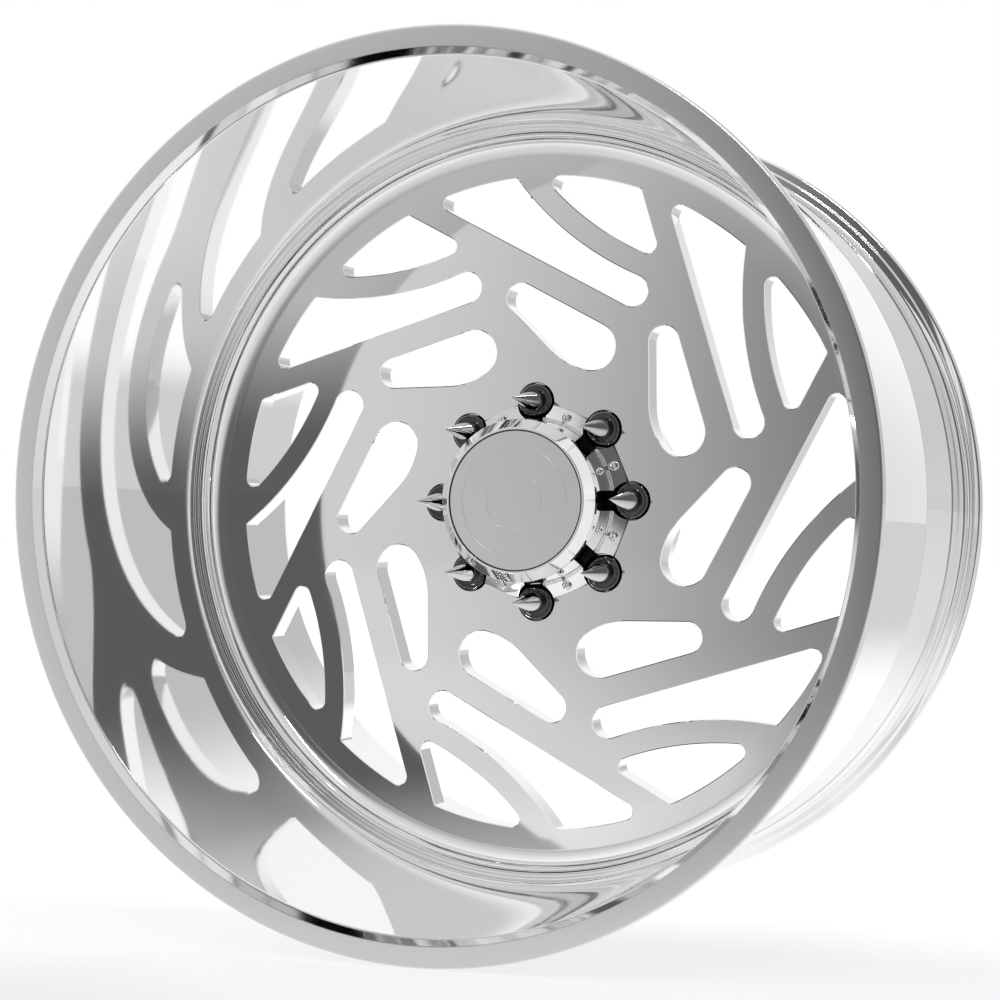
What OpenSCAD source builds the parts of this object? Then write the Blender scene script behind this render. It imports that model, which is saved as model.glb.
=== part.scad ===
// Deep-lip forged truck wheel: a windowed centre in a drop-centre barrel, with a
// screwed centre cap, eight lug nuts with screwed-in spikes, and a snap-in valve.
// Drawn lying face up, then stood on its tread: the axle is the Y axis, the street
// side faces -Y, and the origin is on the axle at the middle of the rim's width.

/* [Rim] */
// Diameter of the bead seats, a nominal 26 inches
seat_d = 662; // [560:1:800]
// Width between the two tyre flanges, a nominal 16 inches
rim_w = 406.4; // [330:0.1:490]
// Height of a tyre flange above its bead seat
flange_h = 16.7; // [14:0.1:19]
// Thickness of a tyre flange along the axle
flange_t = 14.6; // [12:0.1:17]
// Height above the bead seat of the step on a flange's tyre side
flange_step_h = 8; // [6:0.5:10]
// Width along the axle of that step
flange_step_w = 3.5; // [2:0.1:5]
// Width of a bead seat
seat_w = 30; // [24:1:36]
// Height of the hump that keeps the bead on its seat
hump_h = 1.2; // [0.8:0.1:2]
// Wall of the front lip just inside the bright bevel
lip_wall = 5; // [4:0.1:8]
// How far the lip wall thickens on its way to the centre
lip_taper = 7.3; // [4:0.1:12]
// Depth of the drop centre below the bead seats
well_drop = 27; // [20:0.5:34]
// Wall under the drop centre
well_wall = 7.5; // [6:0.1:10]
// Length along the axle of each sloping side of the drop centre
well_slope = 22; // [18:1:28]

/* [Centre] */
// Wheel offset: mounting pad from the middle of the rim, negative for a deep lip
offset_et = -101; // [-120:1:-80]
// Thickness of the hub, from the mounting pad to the flat face
hub_t = 61.5; // [50:0.5:75]
// Thickness of the windowed disc
disc_t = 22; // [18:0.5:26]
// Thickness of the disc's edge where it stands on the barrel's shoulder
shelf_t = 10.7; // [8:0.1:14]
// Radial width of the barrel's shoulder
shelf_w = 20.5; // [14:0.5:26]
// Radius of the cove between the flat face and the lip
cove_r = 17; // [10:0.5:24]
// Number of fine steps outside the cove
steps = 3; // [2:1:4]
// Radial width of one fine step
step_w = 2; // [1:0.1:3]
// Depth of one fine step along the axle
step_d = 4; // [2:0.5:5]
// Radius of the hub's round boss behind the disc
boss_r = 112; // [108:0.5:118]
// Radius of the bore that centres the wheel on its hub
bore_r = 62.55; // [50:0.05:64]
// Chamfer at the mouth of the bore
bore_chamfer = 1.5; // [0.5:0.1:3]
// Leg of the weld bead behind the disc
weld_leg = 5; // [3:0.5:6]

/* [Lugs] */
// Number of lugs
lugs = 8; // [8:8]
// Diameter of the bolt circle
pcd = 170; // [165:0.1:180]
// Radius of the stud holes
stud_hole_r = 7.75; // [7.25:0.05:8]
// Length of the stud holes above the mounting pad
stud_land = 24; // [18:0.5:30]
// Half angle of the conical lug seat
seat_half_angle = 30; // [30:1:45]
// Outer radius of the conical lug seat
seat_cone_r = 12; // [11:0.1:13]
// Radius of a lug nut's skirt
nut_r = 15.2; // [14:0.1:15.8]
// Radius of a lug nut's neck, where the spike seats
nut_neck_r = 9.2; // [8.8:0.1:10.5]
// Height of a lug nut's dome above the flat face
nut_dome_h = 7.5; // [5:0.5:10]
// Radius of the stud's thread in the nut
stud_r = 7; // [6:0.1:7.2]
// Radius of a spike at its foot
spike_r = 8.8; // [7.5:0.1:9]
// Height of a spike above the nut
spike_h = 50; // [30:1:60]
// Radius of the threaded shank below a spike
shank_r = 4; // [3:0.1:5]
// Length of the threaded shank below a spike
shank_l = 12; // [8:0.5:14]

/* [Cap] */
// Radius of the corners of the cap's eight-sided skirt
skirt_r = 84; // [83:0.5:88]
// Half the angle that one flat of the skirt spans
skirt_half_angle = 11.5; // [10:0.5:12]
// Slope of the cap's skirt and foot
skirt_slope = 19.5; // [15:0.5:22]
// Height of the skirt's rim above the flat face
skirt_rim_t = 1.4; // [1:0.1:3]
// Thickness of the skirt's plate under the neck's foot
skirt_plate_t = 3; // [2:0.1:4]
// Radius of the double bead on the skirt
bead_r = 70.2; // [70:0.1:71]
// Width of each bead
bead_w = 1.6; // [1.2:0.1:1.8]
// Width of the slot across the beads between two screws
bead_slot = 3.4; // [2:0.1:5]
// Width of the slots under the bezel, between the nuts and the neck
foot_slot_w = 17; // [12:0.5:20]
// Height of those slots above the flat face
foot_slot_h = 11; // [8:0.5:14]
// Thickness of metal left under those slots
foot_slot_floor = 1; // [0.6:0.1:2]
// Depth of those slots in the neck's wall
foot_slot_in = 2; // [0.5:0.25:3]
// Radius of the cap's neck
neck_r = 60.5; // [58:0.5:61]
// Wall of the cap's neck
neck_wall = 4; // [3:0.5:5]
// Height of the emblem plate above the flat face
cap_h = 51.5; // [44:0.5:62]
// Outer radius of the cap's bezel
bezel_r = 68; // [65:0.5:68.5]
// Chamfer on the bezel
bezel_chamfer = 7.5; // [4:0.5:8]
// Height of the bezel along the axle
bezel_h = 15.2; // [12:0.1:18]
// Radius of the emblem plate
emblem_r = 57.6; // [52:0.1:58]
// Thickness of the emblem plate
emblem_t = 3; // [2:0.1:4]
// Radius of the heads of the outer cap screws, which hold the cap to the wheel
skirt_screw_r = 4.2; // [3.5:0.1:4.4]
// Radius of the heads of the inner cap screws, which hold the neck to the skirt
neck_screw_r = 3.3; // [2.6:0.1:3.4]
// Radius of the cap screws' threads
cap_shank_r = 1.5; // [1:0.1:1.8]

/* [Valve] */
// Radius of the valve's hole in the barrel
valve_hole_r = 5.75; // [5.5:0.05:6]
// Place of the valve round the rim
valve_a = 94; // [0:1:359]
// Distance of the valve behind the disc
valve_back = 30; // [24:1:34]
// Length of the valve from the tyre side of the barrel to its tip
valve_l = 32; // [30:1:40]
// Radius of the valve's thread
valve_r = 3.85; // [3.6:0.05:4]
// Radius of the valve's shaft in the barrel
valve_shaft_r = 4.6; // [4.2:0.1:5]
// Radius of the rubber seals and of the valve's head
valve_seal_r = 8.5; // [7.5:0.1:9]
// Thickness of a rubber seal
valve_seal_t = 2.2; // [1.5:0.1:3]
// Thickness of the hexagonal nut
valve_nut_t = 5; // [4:0.5:6]
// Radius of the valve's inner thread, which holds the core
core_r = 2.6; // [2.4:0.05:2.8]
// Radius of the core's pin
pin_r = 0.8; // [0.6:0.05:1]
// Length of the valve's dust cap
dust_cap_l = 11; // [9:0.5:13]

/* [Fits] */
// Clearance between the centre's edge and the barrel, on the radius
press_gap = 0.05; // [0.02:0.01:0.1]
// Clearance around a nut in its pocket, on the radius
pocket_gap = 0.9; // [0.6:0.05:1.4]
// Clearance around a turning or sliding shaft, on the radius
run_gap = 0.06; // [0.03:0.01:0.1]
// Gap left between pieces that move past each other
move_gap = 0.4; // [0.3:0.05:0.6]
// Gap left between the cap and a nut, on the radius
notch_gap = 1.3; // [1:0.1:2]
// Land left beside a cap screw's head
head_land = 0.4; // [0.2:0.1:1]
// Depth left free below the end of a screw
screw_end_gap = 0.5; // [0.2:0.1:1]

/* [Hidden] */
$fn = 96;

// Places along the axle, in the face-up drawing: +Z is outboard
front_z = rim_w / 2 + flange_t;
rear_z = -front_z;
pad_z = offset_et;
face_z = pad_z + hub_t;
back_z = face_z - disc_t;
shelf_z = face_z - shelf_t;

// Rim
seat_r = seat_d / 2;
flange_r = seat_r + flange_h;
step_r = seat_r + flange_step_h;
small_r = 1.2;
lip_front_r = seat_r - lip_wall;
lip_back_r = lip_front_r - lip_taper;
well_r = seat_r - well_drop;
barrel_in_r = well_r - well_wall;
centre_r = barrel_in_r + shelf_w;
face_r = centre_r - steps * step_w - cove_r;
ledge_drop = 1.5;
bevel = 8;
round_r = 3;
cove_top_z = face_z + cove_r;
centre_top_z = cove_top_z + steps * step_d;
well_front_z = shelf_z + 2;
well_rear_z = rear_z + flange_t + seat_w + hump_h * 5;
well_skew = well_wall * 0.8;

// Lugs and their seats
lug_pr = pcd / 2;
pocket_r = nut_r + pocket_gap;
cone_h = (seat_cone_r - stud_hole_r) / tan(seat_half_angle);
cone_z = pad_z + stud_land;
pocket_z = cone_z + cone_h;
nut_top_z = face_z + nut_dome_h;
notch_r = nut_r + notch_gap;
shank_end_z = nut_top_z - shank_l;

// Cap
skirt_flat_r = skirt_r * cos(skirt_half_angle);
bead_out_r = bead_r + bead_w;
bead_in_r = bead_r - bead_w;
plate_top_z = face_z + skirt_plate_t;
neck_foot_r = min(bead_in_r - 0.3, lug_pr - notch_r - 0.5);
neck_in_r = neck_r - neck_wall;
skirt_screw_pr = bead_out_r + skirt_screw_r + head_land;
neck_screw_pr = neck_foot_r - neck_screw_r - head_land;
emblem_z = face_z + cap_h;
emblem_back_z = emblem_z - emblem_t;
bezel_z = emblem_z - bezel_h;
seal_w = 1.2;
skirt_shank_l = 8;

// Valve
valve_z = back_z - valve_back;
spot_h = 0.3;
valve_in_h = well_wall - spot_h;
dust_cap_h = valve_l - dust_cap_l + 3;

// ---- Helpers ----

function polar(r, a) = [r * cos(a), r * sin(a)];
function turn(p, a) = [p[0] * cos(a) - p[1] * sin(a), p[0] * sin(a) + p[1] * cos(a)];
function angle_of(p) = atan2(p[1], p[0]);
// Points of an arc about c from angle a to angle b, at most `every` degrees apart
function arc(c, r, a, b, every) =
    let (n = max(1, ceil(abs(b - a) / every)))
    [for (i = [0:n]) c + polar(r, a + (b - a) * i / n)];
// Where two circles meet, on the left going from c1 to c2
function meet(c1, r1, c2, r2) =
    let (d = norm(c2 - c1), a = (r1 * r1 - r2 * r2 + d * d) / (2 * d),
         h = sqrt(max(0, r1 * r1 - a * a)), u = (c2 - c1) / d)
    c1 + a * u + h * [-u[1], u[0]];
// Angle a brought within half a turn of angle b
function near(a, b) = a > b + 180 ? near(a - 360, b) : a < b - 180 ? near(a + 360, b) : a;
// Height of the cap's sloping surface at radius r
function slope_z(r) = face_z + skirt_rim_t + (skirt_flat_r - r) * tan(skirt_slope);

// Stands the face-up drawing on its tread: outboard +Z becomes -Y
module stand_up() rotate([90, 0, 0]) children();
module at_lug(i) rotate([0, 0, (i - 1) * 360 / lugs]) translate([lug_pr, 0, 0]) children();
module at_lugs() for (i = [1:lugs]) at_lug(i) children();
module between_lugs() for (i = [1:lugs]) rotate([0, 0, (i - 0.5) * 360 / lugs]) children();
// A solid of revolution from [radius, height] points
module spun(points) rotate_extrude($fn = 180) polygon(points);
module ring(r_out, r_in, z0, z1) spun([[r_in, z0], [r_out, z0], [r_out, z1], [r_in, z1]]);

// ---- Rim ----

module rim_barrel() color([0.80, 0.81, 0.83]) stand_up() difference() {
    spun(concat(
        // front flange, from the bevel round the outside
        [[seat_r, front_z]],
        arc([flange_r - round_r, front_z - round_r], round_r, 90, 0, 30),
        arc([flange_r - round_r, front_z - flange_t + flange_step_w + round_r], round_r, 0, -90, 30),
        arc([step_r + small_r, front_z - flange_t + flange_step_w - small_r], small_r, 90, 180, 45),
        arc([step_r - small_r, front_z - flange_t + small_r], small_r, 0, -90, 45),
        arc([seat_r + round_r, front_z - flange_t - round_r], round_r, 90, 180, 30),
        // front bead seat, hump and ledge
        [[seat_r - 1, front_z - flange_t - seat_w + hump_h],
         [seat_r + hump_h, front_z - flange_t - seat_w - hump_h],
         [seat_r + hump_h, front_z - flange_t - seat_w - hump_h * 3],
         [seat_r - ledge_drop, front_z - flange_t - seat_w - hump_h * 6],
         [seat_r - ledge_drop, well_front_z],
         // drop centre
         [well_r, well_front_z - well_slope],
         [well_r, well_rear_z + well_slope],
         [seat_r - ledge_drop, well_rear_z],
         // rear hump and seat
         [seat_r + hump_h, rear_z + flange_t + seat_w + hump_h * 3],
         [seat_r + hump_h, rear_z + flange_t + seat_w + hump_h],
         [seat_r - 1, rear_z + flange_t + seat_w - hump_h]],
        arc([seat_r + round_r, rear_z + flange_t + round_r], round_r, 180, 270, 30),
        // rear flange
        arc([step_r - small_r, rear_z + flange_t - small_r], small_r, 90, 0, 45),
        arc([step_r + small_r, rear_z + flange_t - flange_step_w + small_r], small_r, 180, 270, 45),
        arc([flange_r - round_r, rear_z + flange_t - flange_step_w - round_r], round_r, 90, 0, 30),
        arc([flange_r - round_r, rear_z + round_r], round_r, 0, -90, 30),
        // inside: rear, drop centre, shoulder for the centre, lip wall
        [[seat_r, rear_z], [lip_front_r, rear_z + bevel],
         [lip_front_r - 1, well_rear_z - well_skew],
         [barrel_in_r, well_rear_z + well_slope - well_skew],
         [barrel_in_r, shelf_z],
         [centre_r, shelf_z],
         [centre_r, centre_top_z + 2],
         [lip_back_r, centre_top_z + 4],
         [lip_front_r, front_z - bevel]]));
    valve_place() {
        cylinder(h = 3 * well_wall, r = valve_hole_r, center = true);
        // flats for the seals, on the tyre side and inside
        translate([0, 0, spot_h - well_wall]) cylinder(h = well_wall, r = valve_seal_r + 1);
        translate([0, 0, valve_in_h]) cylinder(h = well_wall, r = valve_seal_r + 1);
    }
}

// Weld bead in the corner between the back of the centre and the barrel
module rear_weld_bead() color([0.62, 0.63, 0.65]) stand_up()
    spun(concat([[barrel_in_r, back_z]],
                arc([barrel_in_r - weld_leg, back_z - weld_leg], weld_leg, 0, 90, 15)));

// ---- Windowed centre ----

// Window outlines are drawn for a band from draw_in to draw_out in the segment about the +Y
// axis, then stretched along the radius to fit between the lug pockets and the face's edge.
draw_in = 120.5;
draw_out = 277.3;
window_in = lug_pr + pocket_r + 19.4;
window_out = face_r - 16.7;
// Direction square to the straight spoke edges
spoke_a = 61.3;
// Distance of each straight edge from the axle
long_edge = 182.1;
leaf_edge = 163;
// Curved blade between the long window and the leaf
blade_r = 280;
blade_w = 19.3;
// Rounding of the window corners
sharp_r = 3;
long_end_r = 13.4;
long_tip_r = 7.3;
leaf_end_r = 7.5;
leaf_tip_r = 7;

long_end = turn([long_edge + long_end_r, 9.1], spoke_a);
long_corner = polar(draw_out - sharp_r, 94);
blade_c = meet(long_corner, blade_r + sharp_r, long_end, blade_r + long_end_r);
long_tip = polar(draw_out - long_tip_r,
                 spoke_a + acos((long_edge + long_tip_r) / (draw_out - long_tip_r)));

// Long window: inner end, blade edge, sharp corner, outer edge, tip, straight edge
long_window = concat(
    arc(long_end, long_end_r, spoke_a - 180, angle_of(blade_c - long_end), 20),
    arc(blade_c, blade_r, near(angle_of(long_end - blade_c), 230),
        near(angle_of(long_corner - blade_c), 230), 4),
    arc(long_corner, sharp_r, angle_of(blade_c - long_corner), angle_of(long_corner), 30),
    arc([0, 0], draw_out, angle_of(long_corner), angle_of(long_tip), 4),
    arc(long_tip, long_tip_r, angle_of(long_tip), spoke_a + 180, 27));

// Leaf: inner end, straight edge, sharp corner, outer edge, tip, blade edge
leaf_a = spoke_a - 360 / lugs;
leaf_blade_r = blade_r - blade_w;
leaf_end_off = leaf_edge - leaf_end_r;
blade_c_turned = turn(blade_c, -leaf_a);
leaf_end = turn([leaf_end_off, blade_c_turned[1]
    - sqrt(pow(leaf_blade_r - leaf_end_r, 2) - pow(blade_c_turned[0] - leaf_end_off, 2))], leaf_a);
leaf_corner = polar(draw_out - sharp_r,
                    leaf_a + acos((leaf_edge - sharp_r) / (draw_out - sharp_r)));
leaf_tip = meet([0, 0], draw_out - leaf_tip_r, blade_c, leaf_blade_r - leaf_tip_r);
leaf_window = concat(
    arc(leaf_end, leaf_end_r, near(angle_of(leaf_end - blade_c), -90), leaf_a, 27),
    arc(leaf_corner, sharp_r, leaf_a, angle_of(leaf_corner), 30),
    arc([0, 0], draw_out, angle_of(leaf_corner), angle_of(leaf_tip), 4),
    arc(leaf_tip, leaf_tip_r, angle_of(leaf_tip), near(angle_of(leaf_tip - blade_c), 200), 27),
    arc(blade_c, leaf_blade_r, near(angle_of(leaf_tip - blade_c), 230),
        near(angle_of(leaf_end - blade_c), 230), 4));

// Slot: narrow end, curved belly, wide end, straight edge
slot_narrow_r = 13;
slot_belly_r = 64;
slot_wide_r = 20.2;
slot_low_a = 224.8;
slot_turn_a = 258.5;
slot_narrow = [-13.6, 173.8];
slot_wide = [50.5, 130.4];
slot_belly = slot_wide - polar(slot_belly_r - slot_wide_r, slot_turn_a);
slot_window = concat(
    arc(slot_narrow, slot_narrow_r, spoke_a, slot_low_a, 20),
    arc(slot_belly, slot_belly_r, slot_low_a, slot_turn_a, 9),
    arc(slot_wide, slot_wide_r, slot_turn_a, spoke_a + 360, 20));

// Drops each point that sits on the one before it
function tidied(points) = [for (i = [0:len(points) - 1])
    if (norm(points[i] - points[(i + len(points) - 1) % len(points)]) > 0.05) points[i]];
// Stretches a drawn outline along the radius into the real band
function fitted(points) = [for (p = tidied(points))
    let (r = window_in + (norm(p) - draw_in) * (window_out - window_in) / (draw_out - draw_in))
    p * r / norm(p)];

module windows() for (i = [1:lugs], outline = [slot_window, long_window, leaf_window])
    rotate([0, 0, i * 360 / lugs]) translate([0, 0, back_z - 1])
        linear_extrude(height = disc_t + 2) polygon(fitted(outline));

module wheel_centre() color([0.83, 0.84, 0.86]) stand_up() difference() {
    spun(tidied(concat(
        [[bore_r, pad_z + bore_chamfer], [bore_r + bore_chamfer, pad_z],
         [boss_r - round_r, pad_z], [boss_r, pad_z + round_r]],
        arc([boss_r + 8, back_z - 8], 8, 180, 90, 30),
        [[barrel_in_r - press_gap, back_z],
         [barrel_in_r - press_gap, shelf_z],
         [centre_r - press_gap, shelf_z],
         [centre_r - press_gap, centre_top_z]],
        // fine steps, then the cove down to the flat face
        [for (s = [0:steps - 1], k = [0, 1])
            [centre_r - (s + 1) * step_w, centre_top_z - (s + k) * step_d]],
        arc([face_r, cove_top_z], cove_r, 0, -90, 15),
        [[bore_r, face_z]])));
    windows();
    // tapped holes for the cap's outer screws
    between_lugs() translate([skirt_screw_pr, 0, face_z - skirt_shank_l])
        cylinder(h = skirt_shank_l + 1, r = cap_shank_r + run_gap);
    at_lugs() {
        translate([0, 0, pad_z - 1]) cylinder(h = stud_land + 1.5, r = stud_hole_r);
        translate([0, 0, cone_z]) cylinder(h = cone_h, r1 = stud_hole_r, r2 = seat_cone_r);
        translate([0, 0, pocket_z - 0.01]) cylinder(h = hub_t, r = pocket_r);
    }
}

// ---- Centre cap ----

// Round pockets that clear the nuts, cut right through the cap's lower pieces
module nut_notches() at_lugs() translate([0, 0, face_z - 1]) cylinder(h = 40, r = notch_r);

// Slots from the nuts in to the neck, a little into its wall
module foot_slots() for (i = [1:lugs]) rotate([0, 0, (i - 1) * 360 / lugs])
    translate([neck_r - foot_slot_in, -foot_slot_w / 2, face_z + foot_slot_floor])
        cube([lug_pr - neck_r, foot_slot_w, foot_slot_h - foot_slot_floor]);

// Prism that trims the skirt's rim flat between the nuts
module skirt_prism() translate([0, 0, face_z]) linear_extrude(height = 40)
    polygon([for (i = [1:lugs], side = [-1, 1])
        polar(skirt_r, (i - 0.5) * 360 / lugs + side * skirt_half_angle)]);

// Seat of a screw head on the slope, level with the slope at the head's outer edge
function head_z(pr, head_r) = slope_z(pr + head_r);
module at_head(pr, head_r) between_lugs() translate([pr, 0, head_z(pr, head_r)]) children();
neck_shank_l = head_z(neck_screw_pr, neck_screw_r) - face_z - screw_end_gap;

// Eight-sided skirt that lies on the wheel's face, with the double bead turned on it
module cap_skirt() color([0.74, 0.76, 0.79]) stand_up() difference() {
    intersection() {
        spun(concat(
            [[neck_in_r, face_z], [skirt_r + 1, face_z],
             [skirt_r + 1, face_z + skirt_rim_t * 0.6], [skirt_flat_r, face_z + skirt_rim_t]],
            arc([bead_r + bead_w / 2, slope_z(bead_r + bead_w / 2)], bead_w / 2, 0, 150, 30),
            arc([bead_r - bead_w / 2, slope_z(bead_r - bead_w / 2)], bead_w / 2, 30, 180, 30),
            [[bead_in_r, plate_top_z], [neck_in_r, plate_top_z]]));
        skirt_prism();
    }
    nut_notches();
    foot_slots();
    // slots across the beads, then the screws' seats and holes
    between_lugs() translate([bead_in_r - 1, -bead_slot / 2, plate_top_z + 0.6])
        cube([2 * bead_w + 1.6, bead_slot, 10]);
    at_head(skirt_screw_pr, skirt_screw_r) {
        cylinder(h = 10, r = skirt_screw_r + run_gap);
        translate([0, 0, -10]) cylinder(h = 11, r = cap_shank_r + run_gap);
    }
    at_head(neck_screw_pr, neck_screw_r) translate([0, 0, -neck_shank_l - 2])
        cylinder(h = 20, r = cap_shank_r + run_gap);
}

// Foot and neck of the cap: a thin tower that carries the bezel
module cap_neck() color([0.70, 0.72, 0.75]) stand_up() difference() {
    spun([[neck_in_r, plate_top_z], [neck_foot_r, plate_top_z],
          [neck_foot_r, slope_z(neck_foot_r)], [neck_r, slope_z(neck_r)],
          [neck_r, bezel_z], [neck_in_r, bezel_z]]);
    foot_slots();
    at_head(neck_screw_pr, neck_screw_r) {
        cylinder(h = 10, r = neck_screw_r + run_gap);
        translate([0, 0, -10]) cylinder(h = 11, r = cap_shank_r + run_gap);
    }
}

module cap_bezel() color([0.90, 0.91, 0.93]) stand_up()
    spun([[neck_in_r, bezel_z], [bezel_r - 2, bezel_z], [bezel_r, bezel_z + 2],
          [bezel_r, emblem_z - bezel_chamfer], [bezel_r - bezel_chamfer, emblem_z],
          [emblem_r + seal_w, emblem_z], [emblem_r + seal_w, emblem_back_z],
          [neck_in_r - neck_wall, emblem_back_z],
          [neck_in_r - neck_wall, emblem_back_z - neck_wall],
          [neck_in_r, emblem_back_z - neck_wall]]);

// Dark seal, seen as a fine line round the emblem plate
module cap_seal_ring() color([0.06, 0.06, 0.07]) stand_up()
    ring(emblem_r + seal_w, emblem_r, emblem_back_z, emblem_z - 0.8);

// Plain emblem plate with two fine turned rings
module cap_emblem() color([0.63, 0.64, 0.63]) stand_up() difference() {
    ring(emblem_r, 0, emblem_back_z, emblem_z);
    for (r = [emblem_r * 0.42, emblem_r * 0.8])
        translate([0, 0, emblem_z - 0.5]) ring(r + 1, r - 1, 0, 1);
}

// Pan-head screw seated on z = 0, with a round drive, and its threaded shank below
module cap_screw(head_r, length) spun([
    [0, -length], [cap_shank_r, -length], [cap_shank_r, 0], [head_r, 0],
    [head_r, 1.3], [head_r * 0.75, 2.2], [head_r * 0.4, 2.2], [head_r * 0.4, 1.1], [0, 1.1]]);
module cap_skirt_screws() color([0.80, 0.82, 0.84]) stand_up()
    at_head(skirt_screw_pr, skirt_screw_r) cap_screw(skirt_screw_r, skirt_shank_l);
module cap_neck_screws() color([0.80, 0.82, 0.84]) stand_up()
    at_head(neck_screw_pr, neck_screw_r) cap_screw(neck_screw_r, neck_shank_l);

// ---- Lug nuts and spikes ----

// Round nut: a cone on the seat, a skirt in the pocket, a dome with the spike's thread
module lug_nut(i) color([0.16, 0.16, 0.17]) stand_up() at_lug(i) {
    tip_r = stud_hole_r + 1;
    cone_r = seat_cone_r - 0.3;
    lift = cone_z - stud_hole_r / tan(seat_half_angle) + run_gap / sin(seat_half_angle);
    spun(concat(
        [[stud_r + run_gap, tip_r / tan(seat_half_angle) + lift],
         [tip_r, tip_r / tan(seat_half_angle) + lift],
         [cone_r, cone_r / tan(seat_half_angle) + lift],
         [cone_r, pocket_z + move_gap],
         [nut_r - 0.8, pocket_z + move_gap],
         [nut_r, pocket_z + move_gap + 0.8]],
        [for (a = [0:15:90])
            [nut_neck_r + (nut_r - nut_neck_r) * cos(a), face_z - 1 + (nut_dome_h + 1) * sin(a)]],
        [[shank_r + run_gap, nut_top_z],
         [shank_r + run_gap, shank_end_z - move_gap],
         [stud_r + run_gap, shank_end_z - move_gap]]));
}

// Pointed spike with a threaded shank that screws into the nut's dome
module lug_spike(i) color([0.55, 0.56, 0.58]) stand_up() at_lug(i)
    spun([[0, shank_end_z], [shank_r, shank_end_z], [shank_r, nut_top_z + run_gap],
          [spike_r, nut_top_z + run_gap], [spike_r, nut_top_z + 1],
          [0.4, nut_top_z + spike_h], [0, nut_top_z + spike_h]]);

// ---- Valve ----

// From the tyre side of the drop centre, local +Z runs in through the barrel to the axle
module valve_place() rotate([0, 0, valve_a]) translate([well_r, 0, valve_z])
    rotate([0, -90, 0]) children();

module valve_stem() color([0.72, 0.60, 0.36]) stand_up() valve_place()
    spun([[core_r / 2, spot_h - valve_seal_t - 2], [valve_seal_r - 0.5, spot_h - valve_seal_t - 2],
          [valve_seal_r - 0.5, spot_h - valve_seal_t], [valve_shaft_r, spot_h - valve_seal_t],
          [valve_shaft_r, dust_cap_h - 2], [valve_r, dust_cap_h - 1], [valve_r, valve_l],
          [core_r, valve_l], [core_r, dust_cap_h - 6], [core_r / 2, dust_cap_h - 6]]);

module valve_outer_seal() color([0.05, 0.05, 0.05]) stand_up() valve_place()
    ring(valve_seal_r, valve_shaft_r + press_gap, spot_h - valve_seal_t, spot_h);

module valve_inner_seal() color([0.05, 0.05, 0.05]) stand_up() valve_place()
    ring(valve_seal_r, valve_shaft_r + press_gap, valve_in_h, valve_in_h + valve_seal_t);

module valve_nut() color([0.75, 0.76, 0.78]) stand_up() valve_place()
    translate([0, 0, valve_in_h + valve_seal_t]) difference() {
        cylinder(h = valve_nut_t, r = valve_seal_r, $fn = 6);
        translate([0, 0, -1]) cylinder(h = valve_nut_t + 2, r = valve_shaft_r + press_gap);
    }

module valve_core() color([0.72, 0.60, 0.36]) stand_up() valve_place()
    ring(core_r - press_gap, pin_r + run_gap, dust_cap_h - 5, valve_l - 1.5);

module valve_pin() color([0.80, 0.80, 0.80]) stand_up() valve_place()
    translate([0, 0, dust_cap_h - 4]) cylinder(h = valve_l - dust_cap_h + 4, r = pin_r);

module valve_cap() color([0.10, 0.10, 0.11]) stand_up() valve_place() difference() {
    translate([0, 0, dust_cap_h]) cylinder(h = dust_cap_l, r = valve_shaft_r + 0.6);
    translate([0, 0, dust_cap_h - 1]) cylinder(h = valve_l - dust_cap_h + 2, r = valve_r + run_gap);
}

rim_barrel();
wheel_centre();
rear_weld_bead();
cap_skirt();
cap_neck();
cap_bezel();
cap_seal_ring();
cap_emblem();
cap_skirt_screws();
cap_neck_screws();
lug_nut(1);  // lug_nut_1
lug_nut(2);  // lug_nut_2
lug_nut(3);  // lug_nut_3
lug_nut(4);  // lug_nut_4
lug_nut(5);  // lug_nut_5
lug_nut(6);  // lug_nut_6
lug_nut(7);  // lug_nut_7
lug_nut(8);  // lug_nut_8
lug_spike(1);  // lug_spike_1
lug_spike(2);  // lug_spike_2
lug_spike(3);  // lug_spike_3
lug_spike(4);  // lug_spike_4
lug_spike(5);  // lug_spike_5
lug_spike(6);  // lug_spike_6
lug_spike(7);  // lug_spike_7
lug_spike(8);  // lug_spike_8
valve_stem();
valve_outer_seal();
valve_inner_seal();
valve_nut();
valve_core();
valve_pin();
valve_cap();
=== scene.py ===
import bpy
import bmesh
import numpy as np
from mathutils import Matrix, Vector, geometry


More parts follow.
